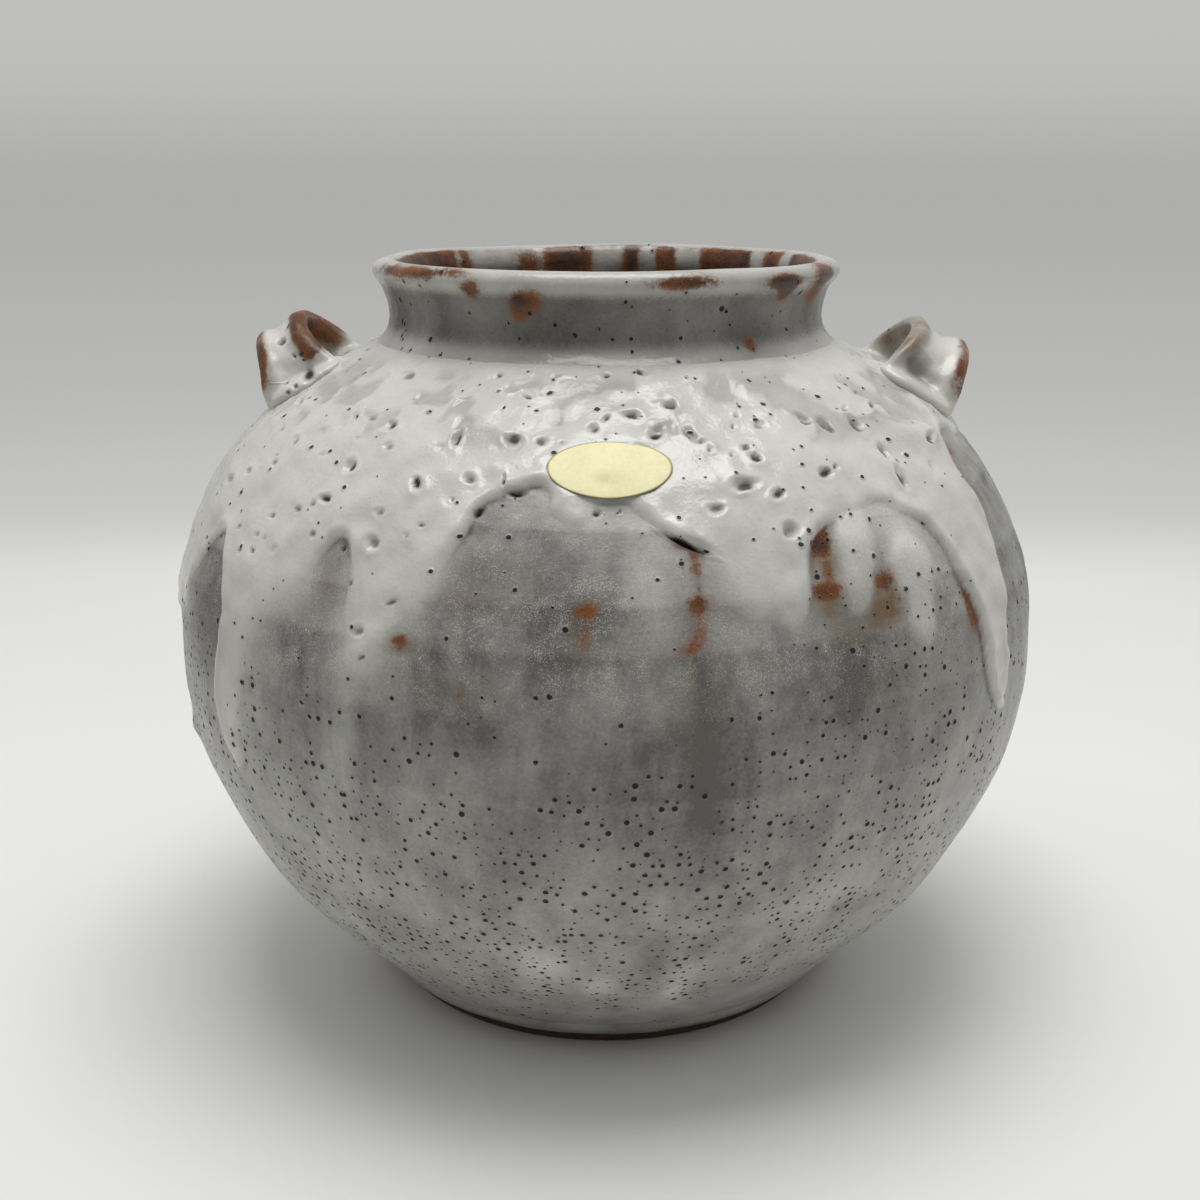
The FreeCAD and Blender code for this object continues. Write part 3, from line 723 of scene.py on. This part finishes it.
# Collar: thrown on the shoulder, with a low waist, a flare, and a lip rolled outward and smoothed with wet
# leather. Glaze drains off the lip and the inside, so iron burns through there in spots and streaks.
collar_outside = [
    (58.9, 166.5), (56.9, 168.2), (55.3, 170.2), (54.4, 172.8), (54.3, 175.6), (54.9, 178.6), (56.3, 181.6),
    (57.7, 183.6), (58.25, 185), (57.9, 186.5), (56.8, 187.6), (55.2, 188), (53.5, 187.7),
    (52.2, 186.7), (51.4, 185.1), (51.1, 182.5), (50.9, 177), (50.9, 171), (51, 167.6)]
collar_profile = list(smooth_line(collar_outside, 0.9)) + [(54, 167.0)]
collar = finished(spun(collar_profile, 320, closed=True), "thrown_collar")
points = positions(collar.data)
azimuth, radius, height = round_axis(points)
inward = rise(53.6, 51.6, radius)
lip = rise(181, 184, height)
swell = 0.16 * waves(points, 22, 31) + 0.07 * waves(points, 7, 32)
ring = height - 180.4 - 0.4 * np.sin(np.radians(3 * azimuth))
swell -= 0.16 * rise(-0.7, 0.7, ring) * (1 - lip) * (1 - inward)
points[:, :2] *= (1 + swell * rise(167.8, 169.5, height) / radius)[:, None]
points[:, 2] += 0.22 * waves(points, 40, 33) * lip - 0.2 * lip
set_positions(collar.data, points)
# Burnt spots on the outside and the lip: azimuth, height, half width, half height and strength.
collar_spots = [
    (-31.7, 183.4, 2.3, 1.6, 1), (-18.5, 180.9, 3.2, 2.3, 1), (-20.5, 179.4, 1.4, 2.2, .7),
    (17.6, 185.4, 6.4, 1.3, 1.1), (44.6, 184.6, 4.4, 1.2, 1.7), (46.8, 182.3, 2.4, 1.8, 1.2),
    (62.5, 182.5, 4.0, 3.3, 1.1), (66, 185.5, 5, 1.5, .9), (36.6, 170.8, 1.7, 1.6, .8),
    (-46.8, 186.4, 5, 1.1, .9), (-60.7, 186.3, 6, 1.1, .9), (-37, 187, 4, .8, .7),
    (31.7, 180.4, .8, .6, .5), (5.8, 180, .6, .5, .4), (-2.5, 179.5, .6, .5, .4), (110, 185, 7, 1.8, 1),
    (140, 182, 3, 3, 1), (176, 185.5, 9, 1.4, 1), (205, 181, 3.4, 2.4, 1), (238, 184.6, 7, 1.6, 1),
    (268, 183, 3, 2, .9)]
iron = np.zeros(len(points))
for place, level, half_wide, half_high, strength in collar_spots:
    across = np.radians(turned_from(place, azimuth)) * radius / half_wide
    out = np.hypot(across, (height - level) / half_high)
    iron += 1.25 * strength * np.exp(-0.6 * out**2) * (1 - inward)
# Burnt streaks inside, in degrees from the back, positive to the right: start, end and strength.
from_back = 180 - azimuth % 360
streaks = [
    (-90, -52, .9), (-50, -46, .7), (-30, -21, .5), (-19, -5, 1.25), (6, 10, 1.2), (16, 22.5, .9),
    (31, 50, .9), (56, 63, .8), (70, 92, .9), (104, 120, 1), (131, 138, .8), (150, 166, 1),
    (-175, -160, .9), (-150, -141, .8), (-128, -108, 1), (-103, -97, .6)]
for start, end, strength in streaks:
    burnt = rise(start - 2, start + 2, from_back) * rise(end + 2, end - 2, from_back)
    iron += 1.5 * strength * burnt * inward
iron += 0.55 * inward * rise(186.0, 187.2, height)
# The neck's darker grey glaze and its lowered tone below the lip are partly thin glaze and partly painted
# shade under the lip.
note_glaze(collar.data, pour=0.1 + 0.6 * lip + 0.8 * rise(172.5, 169, height), iron=iron,
           ochre=0.25 * inward, veil=0.07 * waves(points, 26, 34) - 0.25 + 0.22 * lip,
           pins=0.05 + 0.04 * (1 - lip) * (1 - inward))
collar.data.materials.append(feldspar_glaze("neck_glaze", (70, 69, 66), (214, 213, 208), mottled=0.6))
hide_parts("neck_collar")
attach(collar, "root")


# Strap lugs: pulled straps of clay with a finger groove between two pinched edges, bent into an arch and
# pressed on the shoulder, where their feet spread. The pour covers feet and groove, and the edges stay rusty.
half_span, reach_up, strap_half_top, strap_half_foot, leg = 18.0, 15.5, 7.0, 10.5, 5
# The mounds that spread its feet, across the strap, along it and up.
mound_size, mound_place = (10.8, 7, 2.8), (-0.8, 16.0, -0.6)
strap_section = [
    (-7.1, 17.0), (-6.4, 18.0), (-5.1, 18.4), (-3.8, 18.0), (-2.5, 17.0), (-1.2, 16.4), (0, 16.2),
    (1.2, 16.4), (2.5, 17.0), (3.8, 18.0), (5.1, 18.4), (6.4, 18.0), (7.1, 17.0), (7.2, 15.8), (6.6, 14.4),
    (5, 13.6), (2.5, 13.4), (0, 13.4), (-2.5, 13.4), (-5, 13.6), (-6.6, 14.4), (-7.2, 15.8)]
# Name, node, side, seat radius and height, its normal, rust on the outer and the inner edge, seed, and its
# craters: place across the strap, degrees up the arch from the front foot, radius, depth and darkness. The
# darkness is bared clay, but in the right lug's first, the thumb-pressed hollow at its front foot, it is
# painted shade.
lugs = [("right_strap_lug", "right_lug", 1, (77.16, 156.58), (0.529, 0.849), 0.85, 0.22, 41,
         [(-2.9, 19, 4.8, 2, .46), (0.8, 13, 3.4, 1, .25), (4.4, 66, .6, .5, .7), (5.6, 48, .6, .4, .7),
          (.5, 80, .5, .3, .5), (1, 125, .9, .6, .8)]),
        ("left_strap_lug", "left_lug", -1, (74.80, 158.01), (0.512, 0.859), 1.0, 1.0, 42,
         [(.6, 52, 1.9, 1.3, .95), (-2, 27, .9, .8, .9), (-4.2, 24, 1.2, .8, .9), (-3.4, 3, 2.3, 1.5, 1),
          (.6, 1, 1, .8, .9), (3, 0, .9, .8, .9), (1.5, 115, .8, .6, .8)])]
lug_glaze = feldspar_glaze("lug_glaze", (112, 110, 105), (214, 212, 205))


def widening(share):
    """How many times wider the strap is at this share of its reach than at its top."""
    return 1 + (strap_half_foot / strap_half_top - 1) * (1 - share) ** 1.2


for name, node, side, (seat_r, seat_z), (normal_r, normal_z), outer_rust, inner_rust, seed, spots in lugs:
    bm = bmesh.new()
    verts = [bm.verts.new((across, -out, 0)) for across, out in strap_section]
    edges = [bm.edges.new(pair) for pair in zip(verts, verts[1:] + verts[:1])]
    bmesh.ops.spin(bm, geom=verts + edges, cent=(0, 0, 0), axis=(-1, 0, 0), angle=math.pi, steps=40)
    ends = [edge for edge in bm.edges if edge.is_boundary]
    for vert in bmesh.ops.extrude_edge_only(bm, edges=ends)["geom"]:
        if isinstance(vert, bmesh.types.BMVert):
            vert.co.z -= leg
    bmesh.ops.holes_fill(bm, edges=[edge for edge in bm.edges if edge.is_boundary], sides=0)
    for vert in bm.verts:
        share = max(0.0, min(1.0, vert.co.z / half_span))
        vert.co.x *= widening(share)
        vert.co.z *= reach_up / half_span
    for end in (-1, 1):
        mound = bmesh.ops.create_uvsphere(bm, u_segments=32, v_segments=16, radius=1)["verts"]
        bmesh.ops.scale(bm, vec=mound_size, verts=mound)
        bmesh.ops.translate(bm, vec=(mound_place[0], end * mound_place[1], mound_place[2]), verts=mound)
    bmesh.ops.recalc_face_normals(bm, faces=bm.faces)
    lug = finished(bm, name)
    melt = lug.modifiers.new("melted together", "REMESH")
    melt.mode, melt.voxel_size = "VOXEL", 0.55
    ease = lug.modifiers.new("eased", "SMOOTH")
    ease.factor, ease.iterations = 0.5, 9
    baked = bpy.data.meshes.new_from_object(lug.evaluated_get(bpy.context.evaluated_depsgraph_get()))
    lug.modifiers.clear()
    lug.data = baked
    baked.name = name
    local = raw_points(baked)
    across, along, above = local.T
    share = np.clip(above / reach_up, 0, 1)
    half_wide = strap_half_top * widening(share)
    outness = np.hypot(along, above * half_span / reach_up)
    swell = 0.35 * waves(local, 16, seed) + 0.15 * waves(local, 6, seed + 10)
    outward = np.stack([0 * along, along, above], 1) / np.maximum(np.hypot(along, above), 1)[:, None]
    local = local + outward * (swell * rise(-1, 2, above))[:, None]
    local[:, 0] += 0.5 * waves(local, 18, seed + 20) * rise(0, 5, above)
    edge_out, edge_in = rise(0.5, 0.8, across / half_wide), rise(0.3, 0.65, -across / half_wide)
    top = rise(14.2, 16.8, outness)
    under = rise(15.0, 13.6, outness) * rise(1.5, 5, above)
    free = rise(1.5, 6, above)
    iron = (outer_rust * edge_out + inner_rust * edge_in) * (0.45 + 0.65 * top) * free
    iron = (iron + 0.55 * under * inner_rust) * (1.1 + 0.35 * waves(local, 8, seed + 5))
    wet = np.clip(0.85 - 0.6 * (edge_out + edge_in) * free - 0.35 * under, 0, 1)
    pit = np.zeros(len(local))
    up_the_arch = np.degrees(np.arctan2(above * half_span / reach_up, -along))
    # The dark of each spot is bared clay; in the right lug's thumb-pressed hollow at its front foot it is
    # painted shade.
    for spot_across, spot_turn, size, depth, dark in spots:
        out = np.hypot(across - spot_across, np.radians(up_the_arch - spot_turn) * outness) / size
        local -= outward * (depth * (1 - rise(0.3, 1.1, out)) * top)[:, None]
        pit = np.maximum(pit, dark * (1 - rise(0.3, 0.85, out)) * top)
    across, along, above = local.T
    radius = seat_r + across * normal_z + above * normal_r
    set_positions(baked, np.stack([side * radius, along, seat_z - across * normal_r + above * normal_z], 1))
    if side < 0:
        baked.flip_normals()
    note_glaze(baked, pour=wet, pit=pit, iron=np.clip(iron, 0, 1.3), pins=0.05,
               ochre=0.3 * under + 0.25 * (edge_out + edge_in) * free,
               veil=0.05 + 0.1 * waves(local, 12, seed + 7))
    baked.shade_smooth()
    baked.materials.append(lug_glaze)
    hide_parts(node)
    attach(lug, "root")


# Paper seal: an oval of pale gold paper, pasted on the shoulder after firing. It follows the glaze, and is
# pressed into a dimple low in its middle. Its face is plain.
seal = finished(spun([(radius / mm, 0) for radius in np.linspace(0, 1, 23)], 120), "blank_paper_seal")
disc = raw_points(seal.data)
across, along = disc[:, 0] * seal_half_width, disc[:, 1] * seal_half_height
climb = seal_place[1] + along
azimuth = seal_place[0] + across / degree_width(climb)
points = on_wall(azimuth, climb, 0)
dimple = 0.28 * np.exp(-(((across + 1) / 2.6) ** 2) - ((along + 3.6) / 2) ** 2)
glaze = glaze_under_seal - glaze_bed + 0.1 * waves(points, 34, 5)
above_glaze = 0.25 + 0.06 * waves(points, 9, 51) - dimple
set_positions(seal.data, on_wall(azimuth, climb, glaze + above_glaze))
note(seal.data, "rim", rise(0.955, 0.99, np.hypot(*disc[:, :2].T)))
paper, sheet = new_material("seal_paper")
place = sheet.add("TexCoord", {}, "Object")
fibre = place.noise(900, 4, 0.65)
cloud = place.noise(120, 3, 0.5)
rim = sheet.add("Attribute", {}, "Fac", attribute_name="rim")
colour = (fibre * 0.5 + cloud * 0.5).rise(0.3, 0.7).mix(tone(226, 216, 160), tone(242, 236, 186))
colour = (rim * 0.75).mix(colour, tone(112, 96, 60))
bump = sheet.add("Bump", {"Height": fibre * 0.03 + cloud * 0.12, "Distance": mm})
finish_material(sheet, sheet.add("BsdfPrincipled", {"Base Color": colour, "Roughness": 0.32 + fibre * 0.2,
                                                    "Normal": bump}))
seal.data.materials.append(paper)
wall_of_paper = seal.modifiers.new("thickness", "SOLIDIFY")
wall_of_paper.thickness, wall_of_paper.offset = 0.25 * mm, 1.0
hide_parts("paper_seal")
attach(seal, "root")


# Studio: a pale table that fades into a grey wall behind, one broad soft lamp overhead, and even light from
# all round.
bm = bmesh.new()
bmesh.ops.create_grid(bm, x_segments=1, y_segments=1, size=1)
bmesh.ops.scale(bm, vec=(1500 * mm, 1050 * mm, mm), verts=bm.verts)
bmesh.ops.translate(bm, vec=(0, -450 * mm, 0), verts=bm.verts)
table = finished(bm, "pale_table")


def straight_on(sheet):
    """1 for what is seen, also in a reflection or through something clear, and 0 for light that falls."""
    path = sheet.add("LightPath", {}, "Is Camera Ray")
    return (path + path.other("Is Glossy Ray") + path.other("Is Transmission Ray")).held()


table_paint, sheet = new_material("pale_table")
place = sheet.add("TexCoord", {}, "Object")
aside = place.part("X")
depth = aside.other("Y")
around = ((aside * aside) + depth.maths("MINIMUM", depth, 0.0) ** 2) ** 0.5
mist = place.noise(6, 2)
table_tone = mist.rise(0.2, 0.8).mix(tone(231, 231, 229), tone(235, 235, 233))
lit = sheet.add("BsdfPrincipled", {"Base Color": table_tone, "Roughness": 0.6, "Specular IOR Level": 0.2})
far = sheet.add("Emission", {"Color": tone(198, 198, 196)})
seen = straight_on(sheet)
fade = depth.maths("MAXIMUM", depth.rise(0.38, 0.60), around.rise(0.55, 0.85))
finish_material(sheet, sheet.add("MixShader", {0: fade * seen, 1: lit, 2: far}))
table.data.materials.append(table_paint)

world = bpy.data.worlds.new("soft grey room")
bpy.context.scene.world = world
sky = blank_sheet(world)
way = sky.add("TexCoord", {}, "Generated")
slope = way.part("Z")
open_side = (slope.other("Y") + slope * 0.9).rise(-0.75, 0.45)
wall_tone = slope.rise(-0.21, -0.12).mix(tone(198, 198, 196), tone(184, 184, 182))
wall_tone = slope.rise(-0.14, -0.02).mix(wall_tone, tone(173, 173, 171))
wall_tone = slope.rise(-0.03, 0.07).mix(wall_tone, tone(191, 191, 190))
seen = straight_on(sky)
room_tone = open_side.mix((0.038, 0.038, 0.038, 1), (0.62, 0.62, 0.615, 1))
room = sky.add("Background", {"Color": room_tone})
picture = sky.add("Background", {"Color": wall_tone})
sky.add("OutputWorld", {"Surface": sky.add("MixShader", {0: seen, 1: room, 2: picture})})

lamp = bpy.data.lights.new("overhead_softbox", "AREA")
lamp.shape, lamp.size, lamp.size_y = "RECTANGLE", 0.72, 0.6
lamp.energy, lamp.color = 7.4, (1.0, 0.995, 0.985)
softbox = in_scene("overhead_softbox", lamp)
softbox.location = (0.02, -0.06, 1.15)
aim = Vector((0, 0, 0.1)) - softbox.location
softbox.rotation_euler = aim.to_track_quat("-Z", "Y").to_euler()


# Camera: close in front of the jar, just above the height of its mouth, and looking down at it a little.
lens = bpy.data.cameras.new("camera")
lens.sensor_width, lens.lens, lens.shift_x, lens.clip_start = 36, 48.30, -0.0047, 0.01
camera = in_scene("camera", lens)
camera.location = (0, -0.4136, 0.21298)
camera.rotation_euler = (math.pi / 2 - 0.27136, 0, 0)
bpy.context.scene.camera = camera
bpy.context.scene.view_settings.view_transform = "Standard"
